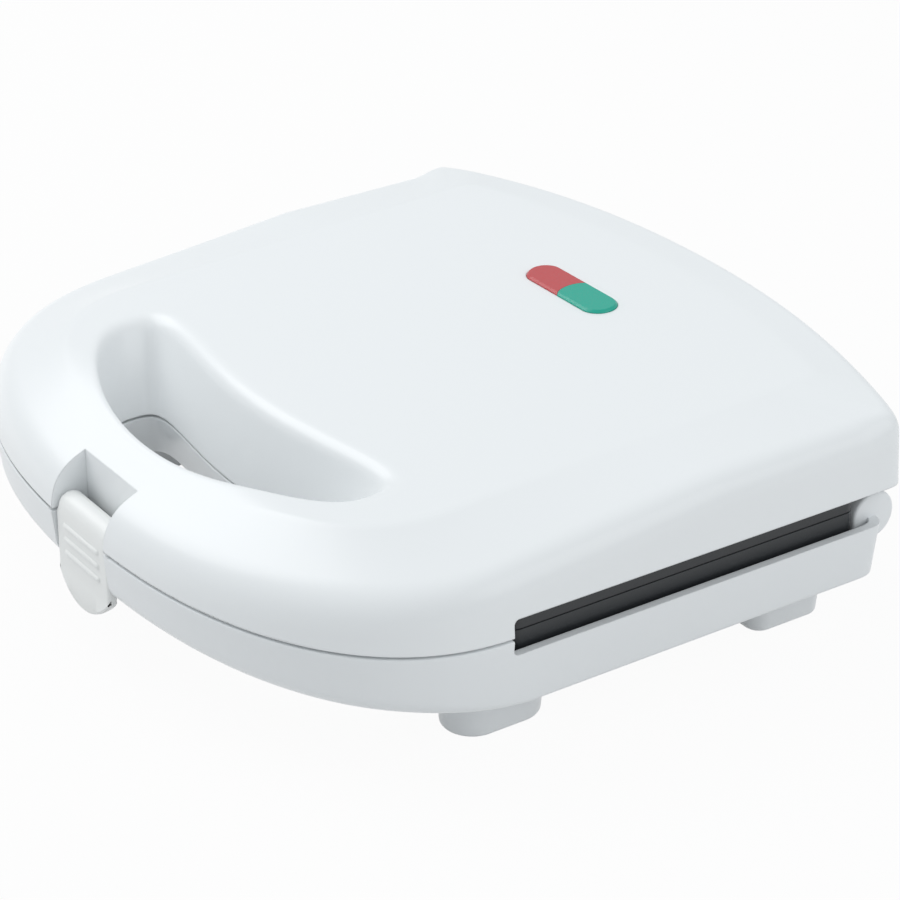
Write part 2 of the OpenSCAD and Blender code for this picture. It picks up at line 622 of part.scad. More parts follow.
/* lid */
module lid_lugs() {
    both_sides() {
        block(lug_x0, lug_x1, hinge_y - lug_r + 0.3, hinge_y + lug_r - 0.3, hinge_z, split_z + 12);
        rod_x(lug_x0, lug_x1, hinge_y, hinge_z, lug_r, 48);
    }
}
module lid_insides() {
    grip_upper(wall);
    block(-recess_half - wall, recess_half + wall, front_y, recess_back + wall, lid_rim, panel_z);
    at_posts() rod_z(0, 0, split_z + shell_z + seat, panel_z + 5, post_r);
    at_stays() rod_z(0, 0, split_z + sheet_z + sheet_t + seat, panel_z + 5, stay_r);
    both_sides() for (p = deck_pegs) rod_z(p[0], p[1], upper_deck_top + seat, panel_z + 5, deck_peg_r);
    holder_pegs();
    both_sides() block(lug_x0, lug_x1, hinge_y - lug_r + 0.3, back_y, split_z + 6, panel_z + 5);
    both_sides() block(66, 68, plate_back + 2, back_y, split_z + 14, panel_z + 5);
}
module lid_cover() {
    color([0.92, 0.93, 0.94]) difference() {
        union() {
            difference() {
                union() {
                    difference() {
                        loft(lid_rings(0));
                        loft(lid_rings(wall));
                    }
                    intersection() {
                        loft(lid_rings(0.6));
                        lid_insides();
                    }
                }
                block(-far, far, -far, far, -far, lid_rim);
                side_window(window_low, window_high);
                both_sides() block(ear_x0, far, window_front + window_r, far, 0, window_high);
                both_sides() block(hinge_window_x, far, plate_back + 4, far, 0, window_high);
                grip_upper(0);
                latch_recess_lid();
                lens_frame() oblong(seat, -wall - 0.5, 9);
                lens_frame() oblong(1.4 + seat, -wall - 6, -wall - 0.55);
                at_posts() rod_z(0, 0, 0, split_z + boss_hole_z, screw_r);
            }
            lid_lugs();
        }
        rod_x(-far, far, hinge_y, hinge_z, pin_r + run_gap);
        rod_x(-latch_pin_half - seat, latch_pin_half + seat, latch_y, latch_z, latch_pin_r + 0.02);
    }
}
// window with rounded front corners, cut along X and open at the back
module side_window(low, high) {
    block(-far, far, window_front + window_r, plate_back + 4, low, high);
    block(-far, far, window_front, plate_back + 4, low + window_r, high - window_r);
    for (z = [low + window_r, high - window_r]) rod_x(-far, far, window_front + window_r, z, window_r, 32);
}

/* decks that close the grip halves and the back of the base round the plates */
deck_t = 1.8;
deck_gap = 0.3;
deck_drop = 0.5;
deck_low = base_rim - deck_drop - deck_t;
deck_back_top = back_rim - deck_drop;
deck_back_half = lug_x0 - 2;
upper_deck_top = lid_rim + deck_drop + deck_t;
deck_pegs = [[80, plate_front - 17], [31, front_y + 12.5]];
deck_back_pegs = [[68, plate_back + 6.5]];
deck_peg_r = 2.5;
// deck of plan outline p with a hole for the hand grip's wall and the latch recess
module deck(p, lean, z0) {
    translate([0, 0, z0]) linear_extrude(deck_t) difference() {
        polygon(p);
        polygon([for (q = grip_neck(wall + deck_gap + lean, 0)) [q[0], q[1]]]);
        translate([-recess_half - wall - deck_gap, front_y - 1])
            square([2 * (recess_half + wall + deck_gap), recess_back + wall + deck_gap - front_y + 1]);
    }
}
module deck_front() {
    block(-far, far, -far, plate_front - deck_gap, 0, far);
}
module lower_deck() {
    color([0.86, 0.87, 0.88]) intersection() {
        union() {
            deck(outline(base_plan(wall + deck_gap + 0.25)), 1.4, deck_low);
            deck(outline(base_plan(wall + deck_gap + 0.35)), 1.4, deck_back_top - deck_t);
        }
        union() {
            intersection() {
                deck_front();
                block(-far, far, -far, far, deck_low, far);
            }
            block(-deck_back_half, deck_back_half, plate_back + deck_gap, far, 0, deck_back_top);
        }
    }
}
module upper_deck() {
    color([0.92, 0.93, 0.94]) intersection() {
        deck(outline(lid_plan(wall + deck_gap + 0.8)), 1.6, upper_deck_top - deck_t);
        deck_front();
    }
}

/* base */
foot_x = half_w - 24.2;
foot_half = 9;
rear_foot_half = 12.5;
front_foot_y = shoulder_y + 6.5;
rear_foot_y = hinge_y - 20.5;
pad_r = 6;
pad_h = 2;
module front_foot(d, z0, z1) {
    for (y = [-6, 6]) rod_z(foot_x, front_foot_y + y, z0, z1, foot_half - d, 48);
    block(foot_x - foot_half + d, foot_x + foot_half - d, front_foot_y - 6, front_foot_y + 6, z0, z1);
}
module rear_foot(d, z0, z1) {
    r = 5;
    a = foot_half;
    b = rear_foot_half;
    translate([foot_x, rear_foot_y, 0]) {
        for (i = [-1, 1], j = [-1, 1]) rod_z(i * (a - r), j * (b - r), z0, z1, r - d, 32);
        block(r - a, a - r, d - b, b - d, z0, z1);
        block(d - a, a - d, r - b, b - r, z0, z1);
    }
}
module foot_pads() {
    color([0.12, 0.12, 0.13]) both_sides()
        for (y = [front_foot_y, rear_foot_y]) rod_z(foot_x, y, 0, pad_h, pad_r);
}
bush_x = -50;
bush_z = foot_h + 11.8;
bush_lean = base_draft * (base_rim - bush_z) / (base_rim - under_z(back_y - base_back_inset));
bush_y = back_y - base_back_inset - bush_x * bush_x / (2 * base_back_r) - bush_lean;
module cord_bush() {
    color([0.15, 0.15, 0.16]) translate([bush_x, bush_y, bush_z]) rotate([-90, 0, 0]) difference() {
        union() {
            translate([0, 0, -wall - 2.7]) cylinder(h = wall + 6.2, r = 4.8, $fn = 48);
            translate([0, 0, 1.2]) cylinder(h = 1.6, r = 6.4, $fn = 48);
            translate([0, 0, -wall - 2.7]) cylinder(h = 1.2, r = 6, $fn = 48);
        }
        translate([0, 0, -20]) cylinder(h = 40, r = 3.4, $fn = 48);
    }
}
clamp_y = plate_back + 6;
cord_top = bush_z + 3.4;
module cord_clamp() {
    color([0.85, 0.85, 0.84]) difference() {
        union() {
            block(bush_x - 11, bush_x + 11, clamp_y - 3, clamp_y + 3, bush_z + 1.2, bush_z + 3.2);
            rod_y(bush_x, clamp_y - 3, clamp_y + 3, bush_z, 5);
        }
        rod_y(bush_x, clamp_y - 9, clamp_y + 9, bush_z, 3.2);
        block(bush_x - 20, bush_x + 20, clamp_y - 9, clamp_y + 9, 0, bush_z + 1.2);
        for (i = [-8, 8]) rod_z(bush_x + i, clamp_y, 0, 60, 1.6);
    }
}
module cord_clamp_screws() {
    color([0.7, 0.7, 0.72]) for (i = [-8, 8]) {
        rod_z(bush_x + i, clamp_y, bush_z - 6, bush_z + 3.3, 1.45);
        rod_z(bush_x + i, clamp_y, bush_z + 3.25, bush_z + 4.6, 2.6);
    }
}
terminal_z = foot_h + 5;
module terminal_block() {
    y0 = plate_back + 2.5;
    color([0.88, 0.87, 0.82]) difference() {
        union() {
            for (x = [-16, 0, 16]) block(x - 6.5, x + 6.5, y0, y0 + 10.5, terminal_z, terminal_z + 10);
            block(-20, 20, y0 + 1.5, y0 + 9, terminal_z, terminal_z + 4);
        }
        for (x = [-16, 0, 16]) {
            rod_y(x, y0 - 1, y0 + 12, terminal_z + 5, 1.7);
            for (y = [2.8, 7.7]) rod_z(x, y0 + y, terminal_z + 5, terminal_z + 11, 1.6);
        }
        for (x = [-8, 8]) rod_z(x, y0 + 5.25, 0, 60, 1.4);
    }
}
module base_ears() {
    both_sides() {
        rod_x(ear_x0, ear_x1, hinge_y, hinge_z, ear_r, 64);
        block(ear_x0, ear_x1, hinge_y - ear_r, hinge_y - 1.5, foot_h + 4, hinge_z);
    }
}
module base_insides() {
    grip_lower(wall);
    block(-recess_half - wall, recess_half + wall, front_y, recess_back + wall, 0, base_rim);
    at_posts() rod_z(0, 0, 0, split_z - shell_z - seat, post_r);
    at_stays() rod_z(0, 0, 0, split_z - sheet_z - sheet_t - seat, stay_r);
    both_sides() {
        for (p = deck_pegs) rod_z(p[0], p[1], 0, deck_low - seat, deck_peg_r);
        for (p = deck_back_pegs) rod_z(p[0], p[1], 0, deck_back_top - deck_t - seat, deck_peg_r);
    }
    for (x = [-8, 8]) rod_z(x, plate_back + 7.75, 0, terminal_z - seat, 3);
    for (i = [-8, 8]) rod_z(bush_x + i, clamp_y, 0, bush_z + 1.1, 3);
}
module vent_slots() {
    for (x = [-52 : 13 : 52], y = [-12, 50]) {
        block(x - 1.2, x + 1.2, y - 10, y + 10, 0, foot_h + wall + 1);
        for (j = [-10, 10]) rod_z(x, y + j, 0, foot_h + wall + 1, 1.2, 16);
    }
}
module base_cover() {
    color([0.86, 0.87, 0.88]) difference() {
        union() {
            difference() {
                union() {
                    difference() {
                        loft(base_rings(0));
                        loft(base_rings(wall));
                    }
                    intersection() {
                        loft(base_rings(0.6));
                        base_insides();
                    }
                }
                block(-far, far, -far, far, base_rim, far);
                block(-far, far, plate_back + 4, far, back_rim, far);
                side_window(window_low, window_high);
                both_sides() {
                    block(ear_x0, far, window_front + window_r, far, window_low, far);
                    block(lug_x0 - lug_gap, ear_x0, hinge_y - 6, far, hinge_z - 7, far);
                }
                grip_lower(0);
                difference() {
                    latch_recess_base();
                    catch_ledge();
                }
                vent_slots();
                both_sides() {
                    front_foot(wall, foot_h, foot_h + wall + 1);
                    rear_foot(wall, foot_h, foot_h + wall + 1);
                }
                rod_y(bush_x, bush_y - wall - 4, far, bush_z, 4.85);
                at_posts() rod_z(0, 0, split_z - boss_hole_z, far, screw_r);
                for (i = [-8, 8]) rod_z(bush_x + i, clamp_y, bush_z - 7, far, 1.5);
            }
            base_ears();
            difference() {
                both_sides() {
                    front_foot(0, 0.5, foot_h + 1);
                    rear_foot(0, 0.5, foot_h + 1);
                }
                both_sides() {
                    front_foot(wall, 3.6, foot_h + 2);
                    rear_foot(wall, 3.6, foot_h + 2);
                    for (y = [front_foot_y, rear_foot_y]) rod_z(foot_x, y, 0, pad_h + seat, pad_r + seat);
                }
            }
        }
        both_sides() rod_x(0, ear_x1 - 2, hinge_y, hinge_z, pin_r + 0.02);
    }
}
module pin_body() { rod_x(lug_x0 - 0.8, ear_x1 - 2.1, hinge_y, hinge_z, pin_r); }
module hinge_pin_right() { color([0.75, 0.76, 0.78]) pin_body(); }
module hinge_pin_left() { color([0.75, 0.76, 0.78]) mirror([1, 0, 0]) pin_body(); }

base_cover();
lid_cover();
lower_plate();
upper_plate();
lower_element();
upper_element();
lower_reflector();
upper_reflector();
lower_element_clamps();
upper_element_clamps();
lower_plate_screws();
upper_plate_screws();
lower_clamp_screws();
upper_clamp_screws();
hinge_pin_left();
hinge_pin_right();
latch();
latch_pin();
red_lens();
green_lens();
lamp_holder();
red_lamp();
green_lamp();
thermostat();
thermal_fuse();
terminal_block();
cord_bush();
cord_clamp();
cord_clamp_screws();
foot_pads();
lower_deck();
upper_deck();
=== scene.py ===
import json
import math

import bmesh
import bpy
import numpy as np
from mathutils import Matrix, Vector


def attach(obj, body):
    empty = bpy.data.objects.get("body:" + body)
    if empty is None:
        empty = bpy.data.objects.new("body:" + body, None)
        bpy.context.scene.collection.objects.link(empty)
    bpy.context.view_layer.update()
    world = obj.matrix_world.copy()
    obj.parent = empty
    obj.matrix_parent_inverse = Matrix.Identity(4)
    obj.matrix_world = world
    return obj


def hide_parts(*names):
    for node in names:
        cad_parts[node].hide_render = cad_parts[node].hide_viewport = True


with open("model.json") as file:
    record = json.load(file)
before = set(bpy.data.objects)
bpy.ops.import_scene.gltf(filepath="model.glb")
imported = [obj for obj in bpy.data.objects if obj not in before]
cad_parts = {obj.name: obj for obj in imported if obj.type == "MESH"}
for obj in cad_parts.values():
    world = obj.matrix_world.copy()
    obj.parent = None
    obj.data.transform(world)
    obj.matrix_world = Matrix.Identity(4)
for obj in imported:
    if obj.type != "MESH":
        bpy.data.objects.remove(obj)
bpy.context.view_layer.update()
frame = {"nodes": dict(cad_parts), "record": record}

MM = 0.001

# ---------------------------------------------------------------- sizes, mm
# plan outlines
HALF_W, FRONT, BACK = 115.0, -109.5, 109.5
SHOULDER = FRONT + 69.5                    # the nose starts here
FRONT_POWER, CORNER_POWER, PANEL_POWER = 2.33, 50.0, 40.0
BACK_R, BASE_BACK_R, PANEL_BACK_R = 360.0, 600.0, 300.0
BASE_INSET, PANEL_INSET, PANEL_NOSE = 13.0, 15, 47
RAY_Y, RAY_COUNT = 10.0, 440               # outlines are drawn by rays from (0, RAY_Y)
CORNER_RAYS = (49.8, 54.8, 56.7)           # degrees: rear corners of panel, lid and base
# shells
SPLIT, GAP, WALL = 39.0, 0.8, 2.4
LID_RIM, BASE_RIM = SPLIT + GAP / 2, SPLIT - GAP / 2
RIM_EDGE = 0.5                             # rounding of both rims
SLACK = 0.06                               # what is added inside stays this far below the skin
# lid edge
EDGE_FRONT, EDGE_SIDE, EDGE_CORNER, EDGE_BACK = 50.0, 64.5, 66.3, 70.3
EDGE_R, CORNER_R, BACK_EDGE_R, LID_DRAFT = 8.5, 5.95, 3.0, 1.3
LEVEL_Y = BACK - 82.5                      # the edge is level behind this
CORNER_Y, TURN_Y = BACK - HALF_W ** 2 / (2 * BACK_R), BACK - 31.5
EDGE_BACK_POWER = 1.5
# top panel and the crease round it
GRIP_Y = FRONT + 22.7
PANEL_HALF, PANEL_Z, PANEL_RISE, PANEL_CROWN = 85.5, 66.8, 0.044, 0.5
PANEL_FRONT = GRIP_Y - 3.2
DIP, DIP_L, CREASE_R = 4.6, 15.0, 1.7
# hand hole
GRIP_HALF, GRIP_TOP_HALF, GRIP_OPEN = 49.5, 62.0, 34.3
GRIP_WAIST, GRIP_LIP = 6.9, 2.6
GRIP_FRONT_BOW, GRIP_REAR_BOW = 260, 300
TOP_LONGER, SPLIT_LONGER = 3, 1.8          # the rounder ends reach out further
TOP_POWER, SPLIT_POWER, MEAN_POWER = 3.1, 3.4, 3.2
SCOOP_TOP = PANEL_Z - 4.8
LIP_FRONT, LIP_REAR, LIP_Y, LIP_L = 2.0, 2.6, -80, 25
# base
FOOT_H, GRIP_RISE, REAR_RISE, BASE_DRAFT = 17.0, 0.09, 0.3, 1.6
BASE_EDGE, BASE_SIDE_R = 6.0, 1.6
BASE_ROUND_Y, BASE_ROUND_L = SHOULDER + 5, 40
FLARE_TOP, FLARE_LOW = FOOT_H + 8.3, FOOT_H + 2.5
FLARE_TURN, FLARE_EDGE = 1.2, 0.7
# hinge
HINGE_Y, HINGE_Z, EAR_R = BACK - 24, SPLIT - 5, 7.4
EAR_X0, EAR_X1 = HALF_W - 16, HALF_W - 5.5
LUG_X1, LUG_X0, LUG_R = EAR_X0 - 0.5, EAR_X0 - 10.5, 5.5
HINGE_WINDOW_X = LUG_X0 - 21.5
# latch
LATCH_HALF, LATCH_R = 14.5, 4.0
LATCH_Y, LATCH_Z = FRONT + LATCH_R + 1.6, SPLIT + 1.6
LATCH_FACE = LATCH_Y - LATCH_R - 0.2
LATCH_T, LATCH_EDGE, TONGUE_R = 3.0, 0.9, 18.0
TONGUE_END = LATCH_Z - 26.4
TONGUE_KINK = TONGUE_END + 7.6
RECESS = LATCH_HALF + 0.5
RECESS_BACK = LATCH_Y + LATCH_R + 2.3
HOOK_HALF, HOOK_Z = 9.5, SPLIT - 13.4
RIB_HALF, RIB_R, RIB_PITCH, RIB_COUNT = 10.2, 0.95, 4.25, 3
LEDGE_HALF, LEDGE_Z0, LEDGE_Z1 = 10, SPLIT - 12.4, SPLIT - 9.4
# side window, indicator, feet, vents and cord bush
WIN_FRONT, WIN_LOW, WIN_HIGH, WIN_R = SHOULDER - 3, SPLIT - 5, SPLIT + 5.8, 1.6
LENS_Y, LENS_SLOT_HALF, LENS_SLOT_R = BACK - 50, 13.2, 5.9
FOOT_X, FRONT_FOOT_Y, REAR_FOOT_Y = HALF_W - 24.2, SHOULDER + 6.5, HINGE_Y - 20.5
FOOT_LOW, FOOT_EDGE, FOOT_DRAFT = 0.5, 1.6, 0.25
VENT_X, VENT_PITCH, VENT_ROWS, VENT_HALF, VENT_R = 52, 13, (-12, 50), 8.8, 1.2
BUSH_X, BUSH_Z, BUSH_HOLE_R = -50.0, FOOT_H + 11.8, 4.85
FAR_X, FAR_Y = 140, 150                    # beyond the part, for cutting tools

# half width, front, shoulder, back, back radius, corner power
LID_PLAN = (HALF_W, FRONT, SHOULDER, BACK, BACK_R, CORNER_POWER)
BASE_PLAN = (HALF_W, FRONT, SHOULDER, BACK - BASE_INSET, BASE_BACK_R, CORNER_POWER)
PANEL_PLAN = (PANEL_HALF, PANEL_FRONT, PANEL_FRONT + PANEL_NOSE, BACK - PANEL_INSET,
              PANEL_BACK_R, PANEL_POWER)


def inset(plan, d):
    hw, f, s, b, r, m = plan
    return hw - d, f + d, s, b - d, r, m


def smooth(t):
    u = np.clip(t, 0, 1)
    return u * u * (3 - 2 * u)


def mix(a, b, t):
    return a + (b - a) * t


def unit(v):
    return v / np.linalg.norm(v, axis=1, keepdims=True)


# ---------------------------------------------------------------- heights
def edge_z(y):
    """Height of the lid's edge before rounding."""
    fall = (EDGE_SIDE - EDGE_FRONT) / (LEVEL_Y - FRONT)
    z = EDGE_SIDE - fall * np.maximum(0, LEVEL_Y - y)
    z = z + (EDGE_CORNER - EDGE_SIDE) * smooth((y - TURN_Y) / (CORNER_Y - TURN_Y))
    rest = np.clip((BACK - y) / (BACK - CORNER_Y), 0, 1)
    return z + (EDGE_BACK - EDGE_CORNER) * (1 - rest ** EDGE_BACK_POWER)


def edge_round(y):
    r = mix(EDGE_R, CORNER_R, smooth((y - TURN_Y) / (CORNER_Y - TURN_Y)))
    return r + (BACK_EDGE_R - CORNER_R) * smooth((y - CORNER_Y) / (BACK - CORNER_Y))


def base_round(y):
    return mix(BASE_SIDE_R, BASE_EDGE, smooth((BASE_ROUND_Y - y) / BASE_ROUND_L))


def panel_top(x, y):
    dip = np.maximum(0, PANEL_FRONT + DIP_L - y) / DIP_L
    crown = PANEL_CROWN * (x / PANEL_HALF) ** 2
    return PANEL_Z + PANEL_RISE * y - crown - DIP * dip ** 2


def under_z(y):
    front_rise = GRIP_RISE * np.maximum(0, SHOULDER + 3 - y)
    return FOOT_H + front_rise + REAR_RISE * np.maximum(0, y - HINGE_Y + 2)


# ---------------------------------------------------------------- outlines
def plan_f(plan, x, y):
    """Below 1 inside the outline, above 1 outside it."""
    hw, f, s, b, r, m = plan
    across, along = np.abs(x) / hw, np.maximum(0, s - y) / (s - f)
    side = (across ** FRONT_POWER + along ** FRONT_POWER) ** (1 / FRONT_POWER)
    back = np.maximum(0, y - RAY_Y) / (b - x * x / (2 * r) - RAY_Y)
    return (side ** m + back ** m) ** (1 / m)


def ray_angles(n):
    """Ray angles that are close together where the outline turns."""
    a = np.linspace(0, 180, 3601)
    weight = 1 + 0.8 * smooth((a - 90) / 40)
    for corner in CORNER_RAYS:
        weight += 5 * np.exp(-((a - corner) / 2.2) ** 2)
    c = np.concatenate([[0], np.cumsum((weight[1:] + weight[:-1]) / 2)])
    half = np.interp(np.linspace(0, c[-1], n // 2 + 1), c, a)
    return np.radians(np.concatenate([half, 360 - half[-2:0:-1]]))


RAYS = ray_angles(RAY_COUNT)


def outline(plan):
    lo, hi = np.zeros(len(RAYS)), np.full(len(RAYS), 200.0)
    sx, cy = -np.sin(RAYS), np.cos(RAYS)
    for _ in range(40):
        mid = (lo + hi) / 2
        out = plan_f(plan, mid * sx, RAY_Y + mid * cy) > 1
        hi, lo = np.where(out, mid, hi), np.where(out, lo, mid)
    return np.stack([lo * sx, RAY_Y + lo * cy], 1)


def grip_curve(w, front, rear, power, n=4000):
    """Bean ring, anticlockwise seen from above, from the middle of the rear edge."""
    t = np.linspace(0, 2 * np.pi, n, endpoint=False) + np.pi / 2
    c, s = np.cos(t), np.sin(t)
    x = w * np.sign(c) * np.abs(c) ** (2 / power)
    v = np.sign(s) * np.abs(s) ** (2 / power)
    f, r = front + x * x / GRIP_FRONT_BOW, rear + x * x / GRIP_REAR_BOW
    return np.stack([x, (f + r) / 2 + v * (r - f) / 2], 1)


def closed_run(curve):
    """A closed curve with its first point again at the end, and the share run at each point."""
    loop = np.concatenate([curve, curve[:1]])
    run = np.concatenate([[0], np.cumsum(np.linalg.norm(np.diff(loop, axis=0), axis=1))])
    return loop, run / run[-1]


def even(curve, fractions):
    """Points of a closed curve at the given fractions of its length."""
    loop, run = closed_run(curve)
    return np.stack([np.interp(fractions % 1, run, loop[:, k]) for k in (0, 1)], 1)


def hole_fractions(ring):
    """Where rays from the hole's middle to a ring round it cross its edge, as shares of it."""
    def turn(p):
        up = p[:, 1] - GRIP_Y - GRIP_OPEN / 2 - 2
        return (np.arctan2(up, p[:, 0]) - np.pi / 2 + 1e-9) % (2 * np.pi)
    curve = grip_curve(GRIP_TOP_HALF, GRIP_Y, GRIP_Y + GRIP_OPEN, MEAN_POWER)
    return np.interp(turn(ring), np.append(turn(curve), 2 * np.pi), closed_run(curve)[1])


CREASE = outline(PANEL_PLAN)
HOLE_T = hole_fractions(CREASE)


def grip_ring(w, front, rear, power=SPLIT_POWER):
    return even(grip_curve(w, front, rear, power), HOLE_T)


def grip_lid(d, top):
    """Ring of the hole in the lid, moved out by d: at the panel or at the split."""
    if top:
        return grip_ring(GRIP_TOP_HALF + TOP_LONGER + d, GRIP_Y - d, GRIP_Y + GRIP_OPEN + d,
                         TOP_POWER)
    return grip_ring(GRIP_HALF + SPLIT_LONGER + d, GRIP_Y + GRIP_LIP - d,
                     GRIP_Y + GRIP_OPEN - GRIP_WAIST + d)


def grip_under(d):
    """Ring of the hole at the underside, moved out by d."""
    return grip_ring(GRIP_HALF + 17.5 + d, GRIP_Y + 0.6 - d, GRIP_Y + GRIP_OPEN + 5.5 + d)


def grip_low(d):
    """Ring of the hole where its flare starts, moved out by d."""
    return grip_ring(GRIP_HALF + 4.5 + d, GRIP_Y + GRIP_LIP - 1 - d, GRIP_Y + GRIP_OPEN - 4.6 + d)


def flare(z):
    """Ring of the hand hole's flared lower end at height z."""
    t = np.clip((z - FLARE_LOW) / (FLARE_TOP - FLARE_LOW), 0, 1)[:, None]
    return grip_under(0) * (1 - t) + grip_low(0) * t


def lift(ring, z):
    return np.column_stack([ring, np.broadcast_to(z, len(ring))])


def bend(p, v, q, n):
    """n rows of a rounded corner from p round v to q."""
    return [p * (1 - t) ** 2 + v * 2 * t * (1 - t) + q * t * t for t in np.linspace(0, 1, n)]


def between(p, q, n):
    """n rows strictly between p and q."""
    return [p + (q - p) * t for t in np.linspace(0, 1, n + 2)[1:-1]]


def toward(p, q, length):
    """The point on the way from p to q, length away from p but at most 45% of the way."""
    v = q - p
    d = np.linalg.norm(v, axis=1, keepdims=True)
    return p + v * np.minimum(length / d, 0.45)


# ---------------------------------------------------------------- meshes
def make_object(name, verts, faces, smooth_shade=True):
    mesh = bpy.data.meshes.new(name)
    mesh.from_pydata([tuple(v) for v in np.asarray(verts) * MM], [], faces)
    mesh.validate()
    obj = bpy.data.objects.new(name, mesh)
    bpy.context.scene.collection.objects.link(obj)
    if smooth_shade:
        mesh.polygons.foreach_set("use_smooth", [True] * len(mesh.polygons))
    return obj


def ring_faces(rows, n, wrap):
    last = rows if wrap else rows - 1
    faces = []
    for i in range(last):
        k = (i + 1) % rows
        for j in range(n):
            m = (j + 1) % n
            faces.append((i * n + j, k * n + j, k * n + m, i * n + m))
    return faces


def recalc(obj):
    """Turn all faces outwards."""
    bm = bmesh.new()
    bm.from_mesh(obj.data)
    bmesh.ops.recalc_face_normals(bm, faces=bm.faces)
    bm.to_mesh(obj.data)
    bm.free()
    return obj


def torus_mesh(name, rows):
    """Closed ring-shaped skin: rows go once round the cross-section."""
    n = len(rows[0])
    return recalc(make_object(name, np.concatenate(rows), ring_faces(len(rows), n, True)))


def loft_mesh(name, rows, smooth_shade=True):
    """Closed skin with a flat cap at both ends."""
    n = len(rows[0])
    faces = ring_faces(len(rows), n, False)
    faces.append(tuple(range(n)))
    faces.append(tuple(range(len(rows) * n - 1, (len(rows) - 1) * n - 1, -1)))
    return recalc(make_object(name, np.concatenate(rows), faces, smooth_shade))


def box_mesh(name, x0, x1, y0, y1, z0, z1):
    c = [(x, y, z) for z in (z0, z1) for x, y in ((x0, y0), (x1, y0), (x1, y1), (x0, y1))]
    return loft_mesh(name, [np.array(c[:4]), np.array(c[4:])], False)


def side_box(name, sign, x0, x1, y0, y1, z0, z1):
    """Box between x0 and x1 on the right (sign 1) or the left (sign -1)."""
    a, b = sorted((sign * x0, sign * x1))
    return box_mesh(name, a, b, y0, y1, z0, z1)


def prism_x(name, pts, x0, x1):
    """Closed prism along X from points (y, z)."""
    pts = np.array(pts, float)
    rows = [np.column_stack([np.full(len(pts), x), pts]) for x in (x0, x1)]
    return loft_mesh(name, rows, False)


def apply_modifier(obj, mod):
    bpy.context.view_layer.objects.active = obj
    with bpy.context.temp_override(object=obj, active_object=obj, selected_objects=[obj]):
        bpy.ops.object.modifier_apply(modifier=mod.name)


def boolean(obj, tools, how):
    for t in tools:
        mod = obj.modifiers.new("cut", "BOOLEAN")
        mod.operation, mod.object, mod.solver = how, t, "MANIFOLD"
        apply_modifier(obj, mod)
        bpy.data.objects.remove(t)
    return obj


def shade(obj, angle=35):
    """Smooth shading with creases where the surface turns by more than angle."""
    mesh = obj.data
    mesh.polygons.foreach_set("use_smooth", [True] * len(mesh.polygons))
    mesh.set_sharp_from_angle(angle=math.radians(angle))
    return obj


# ---------------------------------------------------------------- lid
def lid_skin_rows(d, dense=True):
    """Rows of the lid's outer skin moved in by d, from the rim to the crease."""
    rim, edge = outline(inset(LID_PLAN, d)), outline(inset(LID_PLAN, d + LID_DRAFT))
    v = lift(edge, edge_z(edge[:, 1]) - d)
    c = lift(CREASE, panel_top(CREASE[:, 0], CREASE[:, 1]) - d)
    low = lift(rim, LID_RIM)
    r = edge_round(edge[:, 1])[:, None]
    s = v + (low - v) * np.minimum(0.9, r / (v[:, 2:] - low[:, 2:]))
    e = v + (c - v) * np.minimum(0.8, r / np.linalg.norm(c - v, axis=1, keepdims=True))
    rows = [low] + between(low, s, 8 if dense else 2) + bend(s, v, e, 18 if dense else 6)
    return rows, e, c


def on_panel(row, d=0):
    """Row with its heights set to the panel's top, less d."""
    row[:, 2] = panel_top(row[:, 0], row[:, 1]) - d
    return row


